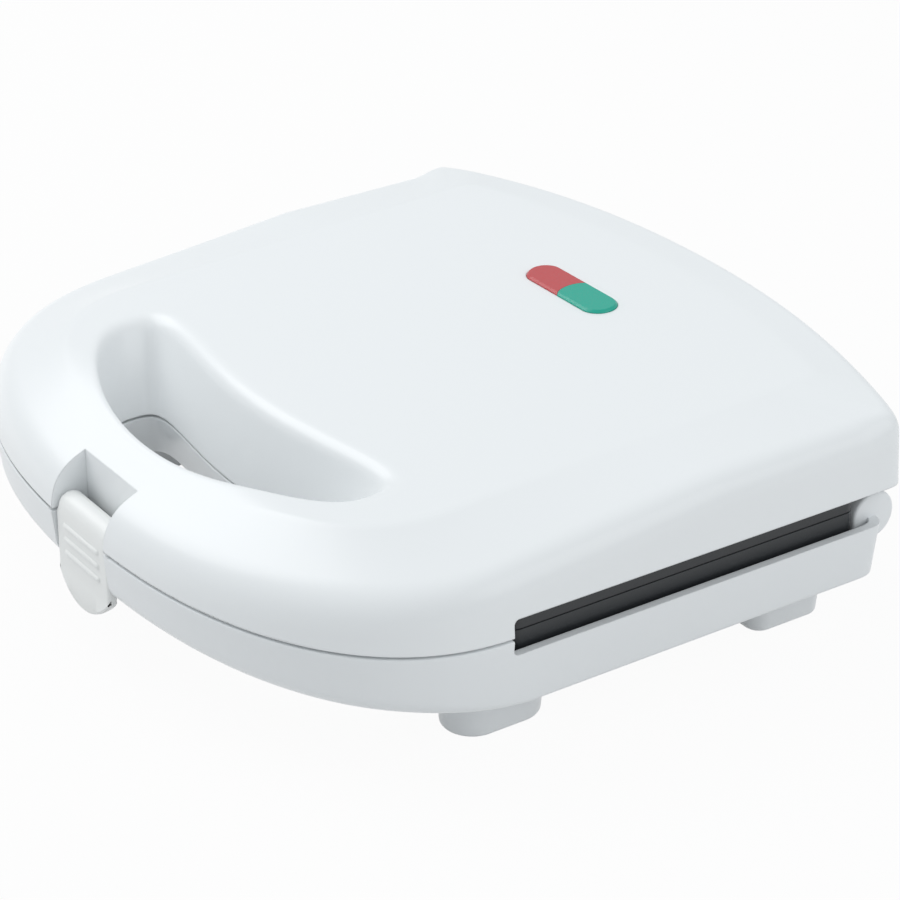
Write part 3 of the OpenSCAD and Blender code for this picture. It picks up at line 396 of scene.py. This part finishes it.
def lid_cover():
    rows, e, c = lid_skin_rows(0)
    low = rows[0]
    in_low = lift(outline(inset(LID_PLAN, RIM_EDGE)), LID_RIM)
    up = toward(low, rows[1] + (rows[1] - low) * 4, RIM_EDGE)
    start = bend(in_low, low, up, 5)

    top_ring, low_ring = grip_lid(0, True), grip_lid(0, False)
    wall_top, wall_low = lift(top_ring, SCOOP_TOP), lift(low_ring, SPLIT)
    # the scoop's wall leans up to SCOOP_TOP, and goes straight up to the panel from there
    rim_z = panel_top(top_ring[:, 0], top_ring[:, 1])
    k = np.minimum(1, (rim_z - SPLIT) / (SCOOP_TOP - SPLIT))[:, None]
    rim = on_panel(wall_low + (wall_top - wall_low) * k)
    reach = LIP_FRONT + LIP_REAR * smooth((rim[:, 1:2] - LIP_Y) / LIP_L)
    along = np.roll(rim, -1, 0) - np.roll(rim, 1, 0)
    out = unit(np.column_stack([along[:, 1], -along[:, 0], np.zeros(len(rim))]))
    hole_e = on_panel(rim + out * reach)
    hole_s = rim + unit(wall_low - rim) * reach

    room = np.linalg.norm(c - hole_e, axis=1, keepdims=True)
    c_in = on_panel(c + (hole_e - c) / room * np.minimum(CREASE_R, 0.4 * room))
    c_out = toward(c, e, CREASE_R)
    rows = start + rows[1:]
    rows += between(e, c_out, 7) + bend(c_out, c, c_in, 6)
    rows += [on_panel(r) for r in between(c_in, hole_e, 30)]
    rows += bend(hole_e, rim, hole_s, 12)
    b_end = lift(low_ring, LID_RIM)
    b_up = toward(b_end, hole_s, 0.4)
    out_low = low_ring + (low_ring - low_ring.mean(0)) * 0.008
    rows += between(hole_s, b_up, 12) + bend(b_up, b_end, lift(out_low, LID_RIM), 4)
    # hidden side: up behind the scoop, under the panel and down inside the outer wall
    g_low = lift(grip_lid(WALL, False), LID_RIM)
    g_top = on_panel(lift(grip_lid(WALL, True), 0.0), WALL)
    inner, ie, ic = lid_skin_rows(WALL, False)
    rows += [g_low] + between(g_low, g_top, 3) + [g_top]
    rows += [on_panel(r, WALL) for r in between(g_top, ic, 8)]
    rows += [ic] + between(ic, ie, 2) + inner[::-1]
    obj = torus_mesh("lid_shell", rows)

    # the lid without its hollow trims the block round the latch recess
    solid_rows, se, sc = lid_skin_rows(SLACK)
    solid_rows += between(se, sc, 3) + [sc]
    for t in (0.85, 0.5, 0.12):
        r = np.column_stack([CREASE[:, 0] * t, RAY_Y + (CREASE[:, 1] - RAY_Y) * t])
        solid_rows.append(on_panel(lift(r, 0.0), SLACK))
    add_recess_block(obj, solid_rows, LID_RIM, PANEL_Z)

    tools = [box_mesh("recess", -RECESS, RECESS, FRONT - 20, RECESS_BACK, 10, PANEL_Z + 10)]
    tools.append(side_window())
    for s in (-1, 1):
        tools.append(side_box("corner", s, EAR_X0, FAR_X, WIN_FRONT + 10, FAR_Y, 20, WIN_HIGH))
        tools.append(side_box("hinge", s, HINGE_WINDOW_X, FAR_X, HINGE_Y - 4.5, FAR_Y, 20,
                              WIN_HIGH))
    tools.append(indicator_slot())
    boolean(obj, tools, "DIFFERENCE")
    return shade(obj)


def add_recess_block(obj, solid_rows, z0, z1):
    """Join a block round the latch recess, trimmed to the solid of the given rows."""
    solid = loft_mesh("solid", solid_rows)
    block = box_mesh("block", -RECESS - WALL, RECESS + WALL, FRONT, RECESS_BACK + WALL, z0, z1)
    boolean(block, [solid], "INTERSECT")
    boolean(obj, [block], "UNION")


def side_window():
    quarter = np.linspace(0, math.pi / 2, 8)
    pts = [(WIN_FRONT + WIN_R * (1 - math.cos(a)), WIN_LOW + WIN_R * (1 - math.sin(a)))
           for a in quarter]
    pts += [(80.0, WIN_LOW), (80.0, WIN_HIGH)]
    pts += [(WIN_FRONT + WIN_R * (1 - math.sin(a)), WIN_HIGH - WIN_R * (1 - math.cos(a)))
            for a in quarter]
    return prism_x("window", pts, -FAR_Y, FAR_Y)


def oblong_ring(half, r, n=48):
    a = np.linspace(0, 2 * np.pi, n, endpoint=False) + np.pi / n
    return np.column_stack([r * np.cos(a) + half * np.sign(np.cos(a)), r * np.sin(a)])


def indicator_slot():
    ring = oblong_ring(LENS_SLOT_HALF, LENS_SLOT_R)
    obj = loft_mesh("oblong", [lift(ring, -9.0), lift(ring, 9.0)])
    mid = Vector((0, LENS_Y, PANEL_Z + PANEL_RISE * LENS_Y)) * MM
    obj.data.transform(Matrix.Translation(mid) @ Matrix.Rotation(math.atan(PANEL_RISE), 4, "X"))
    return obj


# ---------------------------------------------------------------- base
def on_under(row, d=0):
    """Row with its heights set to the underside, plus d."""
    row[:, 2] = under_z(row[:, 1]) + d
    return row


def base_skin_rows(d, dense=True):
    """Rows of the base's outer skin moved in by d, from the underside to the rim."""
    rim, edge = outline(inset(BASE_PLAN, d)), outline(inset(BASE_PLAN, d + BASE_DRAFT))
    v = lift(edge, under_z(edge[:, 1]) + d)
    top = lift(rim, BASE_RIM)
    mid = np.array([0, RAY_Y])
    r = base_round(edge[:, 1])[:, None]
    s = v + (top - v) * r / (top[:, 2:] - v[:, 2:])
    e2 = edge + (mid - edge) * r / np.linalg.norm(edge - mid, axis=1, keepdims=True)
    e = lift(e2, under_z(e2[:, 1]) + d)
    rows = bend(e, v, s, 14 if dense else 5) + between(s, top, 5 if dense else 1) + [top]
    return rows, e


def base_cover():
    rows, e = base_skin_rows(0)
    top = rows.pop()
    down = toward(top, rows[-1], RIM_EDGE)
    rows += bend(down, top, lift(outline(inset(BASE_PLAN, RIM_EDGE)), BASE_RIM), 5)
    # hidden side: down inside the outer wall, over the floor and up round the hand hole
    inner, ie = base_skin_rows(WALL, False)
    rows += inner[::-1]
    g_low = on_under(lift(grip_under(WALL), 0.0), WALL)
    g_top = lift(grip_lid(WALL, False), BASE_RIM)
    rows += [on_under(r, WALL) for r in between(ie, g_low, 8)]
    g_mid = lift(grip_low(WALL), FLARE_TOP + 0.7 * WALL)
    rows += [g_low] + between(g_low, g_mid, 2) + [g_mid] + between(g_mid, g_top, 2) + [g_top]
    # the hole's wall: down to the flare, out to the underside
    h_top, h_mid = lift(grip_lid(0, False), BASE_RIM), lift(grip_low(0), FLARE_TOP)
    floor_z = under_z(flare(under_z(grip_under(0)[:, 1]))[:, 1])
    h_low, turn_z = lift(flare(floor_z), floor_z), np.maximum(FLARE_LOW, floor_z + FLARE_EDGE)
    h_turn = lift(flare(turn_z), turn_z)
    h_in = h_top + (g_top - h_top) * 0.2
    h_down = toward(h_top, h_mid, RIM_EDGE)
    rows += bend(h_in, h_top, h_down, 5)
    above, below = toward(h_mid, h_down, FLARE_TURN), toward(h_mid, h_turn, FLARE_TURN)
    rows += between(h_down, above, 6) + bend(above, h_mid, below, 5)
    rows += between(below, h_turn, 3) + [h_turn]
    near = toward(h_low, h_turn, 0.4)
    far = on_under(h_low + unit(e - h_low) * RIM_EDGE)
    rows += bend(near, h_low, far, 4)
    rows += [on_under(r) for r in between(far, e, 24)]
    obj = torus_mesh("base_shell", rows)

    # the base without its hollow trims the block round the latch recess
    solid_rows, se = base_skin_rows(SLACK)
    mid = np.array([0, RAY_Y])
    for t in (0.8, 0.5, 0.15):
        r = mid + (se[:, :2] - mid) * t
        solid_rows.insert(0, on_under(lift(r, 0.0), SLACK))
    add_recess_block(obj, solid_rows, 10, BASE_RIM)

    tools = [box_mesh("recess", -RECESS, RECESS, FRONT - 20, RECESS_BACK, 0, 60), side_window(),
             box_mesh("back", -FAR_Y, FAR_Y, 80, FAR_Y, SPLIT - 1.6, 60)]
    for s in (-1, 1):
        tools.append(side_box("corner", s, EAR_X0, FAR_X, WIN_FRONT + 10, FAR_Y, WIN_LOW, 60))
        tools.append(side_box("notch", s, LUG_X0 - 0.5, EAR_X0 + 0.01, HINGE_Y - 6, FAR_Y,
                              HINGE_Z - 7, 60))
    for x in range(-VENT_X, VENT_X + 1, VENT_PITCH):
        for y in VENT_ROWS:
            ring = oblong_ring(VENT_HALF, VENT_R, 16)[:, ::-1] + np.array([x, y])
            tools.append(loft_mesh("slot", [lift(ring, 0.0), lift(ring, 25.0)]))
    bush_y = BACK - BASE_INSET - BUSH_X ** 2 / (2 * BASE_BACK_R)
    ring = oblong_ring(0, BUSH_HOLE_R, 40) + np.array([BUSH_X, BUSH_Z])
    tools.append(loft_mesh("bush", [np.insert(ring, 1, y, 1) for y in (bush_y - 9, bush_y + 30)]))
    boolean(obj, tools, "DIFFERENCE")
    ledge = box_mesh("ledge", -LEDGE_HALF, LEDGE_HALF, LATCH_FACE + 5.25, RECESS_BACK + 1,
                     LEDGE_Z0, LEDGE_Z1)
    boolean(obj, [ledge], "UNION")
    return shade(obj)


def foot(name, x, y, hx, hy, r, sign):
    """A moulded foot: rounded block that grows out of the underside, with a rounded lower edge."""
    def ring(d, z):
        a = np.linspace(0, 2 * np.pi, 64, endpoint=False) + np.pi / 64
        c, s = np.cos(a), np.sin(a)
        rr = max(r - d, 0.4)
        return np.column_stack([sign * x + rr * c + (hx - d - rr) * np.sign(c),
                                y + rr * s + (hy - d - rr) * np.sign(s), np.full(64, z)])
    rows = [ring(FOOT_EDGE, FOOT_LOW)]
    for a in np.linspace(0.2, math.pi / 2, 6):
        rows.append(ring(FOOT_EDGE * (1 - math.sin(a)), FOOT_LOW + FOOT_EDGE * (1 - math.cos(a))))
    rows += [ring(-FOOT_DRAFT * k, FOOT_LOW + FOOT_EDGE + k * 3.2) for k in range(1, 6)]
    return shade(loft_mesh(name, rows), 50)


def ear(name, sign):
    """Hinge ear: a round barrel on a stem that grows out of the base's rear corner."""
    pts = [(HINGE_Y - EAR_R, FOOT_H + 4), (HINGE_Y - 2, FOOT_H + 4),
           (HINGE_Y - 2, HINGE_Z - 7.2)]
    pts += [(HINGE_Y + EAR_R * math.cos(a), HINGE_Z + EAR_R * math.sin(a))
            for a in np.linspace(-1.7, math.pi, 44)]
    x0, x1 = sorted((sign * EAR_X0, sign * EAR_X1))
    obj = prism_x(name, pts, x0, x1)
    mod = obj.modifiers.new("round", "BEVEL")
    mod.width, mod.segments = 0.9 * MM, 3
    mod.limit_method, mod.angle_limit = "ANGLE", math.radians(50)
    apply_modifier(obj, mod)
    return shade(obj, 30)


def lug(name, sign):
    """Hinge lug: hangs from the lid inside the ear and turns on the same pin."""
    pts = [(HINGE_Y + LUG_R * math.cos(a), HINGE_Z + LUG_R * math.sin(a))
           for a in np.linspace(-math.pi, 0, 24)]
    pts += [(HINGE_Y + LUG_R, SPLIT + 6), (HINGE_Y + LUG_R + 2, SPLIT + 22),
            (HINGE_Y - LUG_R, SPLIT + 22)]
    x0, x1 = sorted((sign * LUG_X0, sign * LUG_X1))
    return shade(prism_x(name, pts, x0, x1), 30)


# ---------------------------------------------------------------- latch
def latch_section(x):
    """Outline (y, z) of the latch cut across at x, its edges rounded towards both ends."""
    over = max(0.0, abs(x) - (LATCH_HALF - LATCH_EDGE))
    d = LATCH_EDGE - math.sqrt(max(0.0, LATCH_EDGE ** 2 - over ** 2))
    r = LATCH_R - d - 1.6 * max(0.0, (abs(x) - LATCH_HALF + 2.6) / 2.6) ** 3
    front, back = LATCH_FACE + d, LATCH_FACE + LATCH_T - d
    reach = min(abs(x), TONGUE_R * 0.9)
    low = TONGUE_END + TONGUE_R - math.sqrt(TONGUE_R ** 2 - reach ** 2) + d
    arc = np.linspace(-0.75, math.pi * 0.93, 36)
    pts = [(LATCH_Y + r * math.cos(a), LATCH_Z + r * math.sin(a)) for a in arc]
    pts += [(front, z) for z in np.linspace(LATCH_Z - 1.5, TONGUE_KINK + 1.2, 14)]
    kink = min(TONGUE_KINK, max(low, TONGUE_KINK - 0.5))
    lean = 1.1 * max(0.0, (TONGUE_KINK - low) / (TONGUE_KINK - TONGUE_END))
    pts += [(front - 0.1 * lean, kink), (front - lean, low + 0.8),
            (front - lean + 0.25, low + 0.2), (front - lean + 0.9, low),
            (back - lean - 0.2, low + 0.3), (back - 0.5 * lean, kink + 0.2)]
    pts += [(back, z) for z in np.linspace(TONGUE_KINK + 1.2, LATCH_Z - 3.6, 10)]
    return np.array(pts)


def latch():
    half = np.concatenate([np.linspace(0, 9, 7), np.linspace(10, LATCH_HALF - 1.2, 6),
                           LATCH_HALF - LATCH_EDGE * (1 - np.sin(np.linspace(0, math.pi / 2, 9)))])
    xs = np.concatenate([-half[::-1], half[1:]])
    body = loft_mesh("latch_shell", [np.insert(latch_section(x), 0, x, 1) for x in xs])
    back = LATCH_FACE + LATCH_T
    hook = prism_x("hook", [(back - 0.8, HOOK_Z - 2.3), (back + 1.9, HOOK_Z - 1.2),
                            (back + 1.9, HOOK_Z), (back - 0.8, HOOK_Z)], -HOOK_HALF, HOOK_HALF)
    ribs = [capsule("rib", RIB_HALF, RIB_R, LATCH_FACE + 0.35, LATCH_Z - 4.3 - RIB_PITCH * i)
            for i in range(RIB_COUNT)]
    boolean(body, [hook] + ribs, "UNION")
    return shade(body)


def capsule(name, half, r, y, z):
    """A bar along X with round ends."""
    a = np.linspace(0, 2 * np.pi, 20, endpoint=False)
    rows = []
    for k in np.linspace(-np.pi / 2, np.pi / 2, 14):
        x = (half - r) * np.sign(k) + r * math.sin(k)
        rr = max(r * math.cos(k), 0.02)
        rows.append(np.column_stack([np.full(20, x), y + rr * np.cos(a), z + rr * np.sin(a)]))
    return loft_mesh(name, rows)


# ---------------------------------------------------------------- materials
def material(name, color, rough, metallic=0.0, coat=0.0, edge=0.0, grain=0.0, grain_size=1400.0):
    """Plain surface. Edge is the radius of its softened edges, grain the strength of its bumps."""
    m = bpy.data.materials.new(name)
    m.use_nodes = True
    nt = m.node_tree
    b = nt.nodes["Principled BSDF"]
    b.inputs["Base Color"].default_value = (*color, 1)
    b.inputs["Roughness"].default_value = rough
    b.inputs["Metallic"].default_value = metallic
    b.inputs["Coat Weight"].default_value = coat
    b.inputs["Coat Roughness"].default_value = 0.15
    normal = None
    if edge:
        bev = nt.nodes.new("ShaderNodeBevel")
        bev.samples = 6
        bev.inputs["Radius"].default_value = edge
        normal = bev.outputs["Normal"]
    if grain:
        tc = nt.nodes.new("ShaderNodeTexCoord")
        noise = nt.nodes.new("ShaderNodeTexNoise")
        noise.inputs["Scale"].default_value = grain_size
        noise.inputs["Detail"].default_value = 3.0
        bump = nt.nodes.new("ShaderNodeBump")
        bump.inputs["Strength"].default_value = grain
        bump.inputs["Distance"].default_value = 0.0002
        nt.links.new(tc.outputs["Object"], noise.inputs["Vector"])
        nt.links.new(noise.outputs["Fac"], bump.inputs["Height"])
        if normal:
            nt.links.new(normal, bump.inputs["Normal"])
        normal = bump.outputs["Normal"]
    if normal:
        nt.links.new(normal, b.inputs["Normal"])
    return m


# slot: colour, roughness, and what else the material has
LOOKS = {
    "lid_plastic": ((0.90, 0.922, 0.93), 0.32, {"edge": 0.0006, "coat": 0.1}),
    "base_plastic": ((0.88, 0.902, 0.912), 0.34, {"edge": 0.0005}),
    "latch_plastic": ((0.91, 0.92, 0.905), 0.36, {"edge": 0.0004}),
    "cooking_plate": ((0.022, 0.025, 0.028), 0.42, {"grain": 0.25, "edge": 0.0004}),
    "element_steel": ((0.30, 0.30, 0.31), 0.45, {"metallic": 1.0}),
    "reflector_sheet": ((0.80, 0.81, 0.82), 0.28, {"metallic": 1.0}),
    "screw_steel": ((0.62, 0.63, 0.64), 0.3, {"metallic": 1.0}),
    "pin_steel": ((0.66, 0.67, 0.68), 0.22, {"metallic": 1.0}),
    "red_lens": ((0.56, 0.075, 0.08), 0.25, {"grain": 0.5, "grain_size": 1500.0, "edge": 0.0004}),
    "green_lens": ((0.013, 0.41, 0.3), 0.25, {"grain": 0.5, "grain_size": 1500.0, "edge": 0.0004}),
    "lamp_glass": ((0.95, 0.80, 0.65), 0.1, {}),
    "inner_plastic": ((0.72, 0.70, 0.64), 0.5, {}),
    "dark_plastic": ((0.03, 0.03, 0.034), 0.45, {}),
    "pad_rubber": ((0.03, 0.03, 0.032), 0.7, {}),
}
MAT = {slot: material(slot, color, rough, **more) for slot, (color, rough, more) in LOOKS.items()}


def dress(obj, slot, body):
    obj.data.materials.clear()
    obj.data.materials.append(MAT[slot])
    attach(obj, body)
    return obj


def build():
    lid = dress(lid_cover(), "lid_plastic", "lid")
    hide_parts("lid_cover")
    base = dress(base_cover(), "base_plastic", "base")
    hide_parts("base_cover")
    for s, side in ((1, "right"), (-1, "left")):
        front_foot = foot("front_foot_" + side, FOOT_X, FRONT_FOOT_Y, 9, 15, 9, s)
        dress(front_foot, "base_plastic", "base")
        rear_foot = foot("rear_foot_" + side, FOOT_X, REAR_FOOT_Y, 9, 12.5, 5, s)
        dress(rear_foot, "base_plastic", "base")
        dress(ear("ear_" + side, s), "base_plastic", "base")
        dress(lug("lug_" + side, s), "lid_plastic", "lid")
    lt = dress(latch(), "latch_plastic", "latch")
    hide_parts("latch")
    slots = {s["node"]: s["material_slot"] for s in frame["record"]["subparts"]}
    for node, obj in frame["nodes"].items():
        obj.data.materials.clear()
        obj.data.materials.append(MAT[slots[node]])


build()


# ---------------------------------------------------------------- stage
FLOOR_COLOR, FLOOR_GLOW = 0.7, 0.95        # the glow is what the camera and gloss see
SKY_COLOR, SKY_STRENGTH = (0.935, 0.972, 1.0, 1), 0.63
TARGET = (0, 0, 0.05)
# name, place, size, power
LAMPS = (("key", (-0.8, -0.45, 1.1), 1.2, 8.8), ("fill", (0.9, 0.4, 0.6), 0.8, 2.0))


def floor_plane():
    bpy.ops.mesh.primitive_plane_add(size=8)
    floor = bpy.context.object
    floor.name = "floor"
    m = bpy.data.materials.new("floor")
    m.use_nodes = True
    nt = m.node_tree
    b = nt.nodes["Principled BSDF"]
    b.inputs["Base Color"].default_value = (FLOOR_COLOR, FLOOR_COLOR, FLOOR_COLOR, 1)
    b.inputs["Roughness"].default_value = 0.9
    b.inputs["Specular IOR Level"].default_value = 0.0
    path = nt.nodes.new("ShaderNodeLightPath")
    glow = nt.nodes.new("ShaderNodeEmission")
    glow.inputs["Color"].default_value = (1, 1, 1, 1)
    blend = nt.nodes.new("ShaderNodeMixShader")
    out = nt.nodes["Material Output"]
    either = nt.nodes.new("ShaderNodeMath")
    either.operation = "MAXIMUM"
    share = nt.nodes.new("ShaderNodeMath")
    share.operation = "MULTIPLY"
    share.inputs[1].default_value = FLOOR_GLOW
    nt.links.new(path.outputs["Is Camera Ray"], either.inputs[0])
    nt.links.new(path.outputs["Is Glossy Ray"], either.inputs[1])
    nt.links.new(either.outputs[0], share.inputs[0])
    nt.links.new(share.outputs[0], blend.inputs["Fac"])
    nt.links.new(b.outputs[0], blend.inputs[1])
    nt.links.new(glow.outputs[0], blend.inputs[2])
    nt.links.new(blend.outputs[0], out.inputs["Surface"])
    floor.data.materials.append(m)


def sky():
    """White to the camera, a plain grey light to everything else."""
    world = bpy.data.worlds.new("world")
    bpy.context.scene.world = world
    world.use_nodes = True
    nt = world.node_tree
    nt.nodes.clear()
    out = nt.nodes.new("ShaderNodeOutputWorld")
    path = nt.nodes.new("ShaderNodeLightPath")
    seen = nt.nodes.new("ShaderNodeBackground")
    lit = nt.nodes.new("ShaderNodeBackground")
    seen.inputs["Color"].default_value = (1, 1, 1, 1)
    lit.inputs["Color"].default_value = SKY_COLOR
    lit.inputs["Strength"].default_value = SKY_STRENGTH
    blend = nt.nodes.new("ShaderNodeMixShader")
    nt.links.new(path.outputs["Is Camera Ray"], blend.inputs["Fac"])
    nt.links.new(lit.outputs[0], blend.inputs[1])
    nt.links.new(seen.outputs[0], blend.inputs[2])
    nt.links.new(blend.outputs[0], out.inputs["Surface"])


def lamp(name, place, size, power):
    light = bpy.data.lights.new(name, "AREA")
    light.shape, light.size, light.energy = "DISK", size, power
    obj = bpy.data.objects.new(name, light)
    bpy.context.scene.collection.objects.link(obj)
    obj.location = place
    obj.rotation_euler = (Vector(TARGET) - Vector(place)).to_track_quat("-Z", "Y").to_euler()


floor_plane()
sky()
for one in LAMPS:
    lamp(*one)


# ---------------------------------------------------------------- camera
AZIMUTH, ELEVATION, ROLL = math.radians(55.49), math.radians(27.40), math.radians(0.2)
EYE = (0.6353, -0.4215, 0.4278)
LENS, SENSOR, SHIFT_X = 116.3, 36, 0.0006


def camera():
    cam = bpy.data.cameras.new("camera")
    cam.lens, cam.sensor_width, cam.sensor_fit = LENS, SENSOR, "HORIZONTAL"
    cam.shift_x = SHIFT_X
    sa, ca, se, ce = math.sin(AZIMUTH), math.cos(AZIMUTH), math.sin(ELEVATION), math.cos(ELEVATION)
    back = Vector((sa * ce, -ca * ce, se))
    level, up = Vector((ca, sa, 0)), Vector((-sa * se, ca * se, ce))
    right = level * math.cos(ROLL) + up * math.sin(ROLL)
    top = -level * math.sin(ROLL) + up * math.cos(ROLL)
    obj = bpy.data.objects.new("camera", cam)
    obj.matrix_world = Matrix(((right.x, top.x, back.x, EYE[0]), (right.y, top.y, back.y, EYE[1]),
                               (right.z, top.z, back.z, EYE[2]), (0, 0, 0, 1)))
    bpy.context.scene.collection.objects.link(obj)
    bpy.context.scene.camera = obj


camera()
bpy.context.scene.view_settings.view_transform = "Standard"
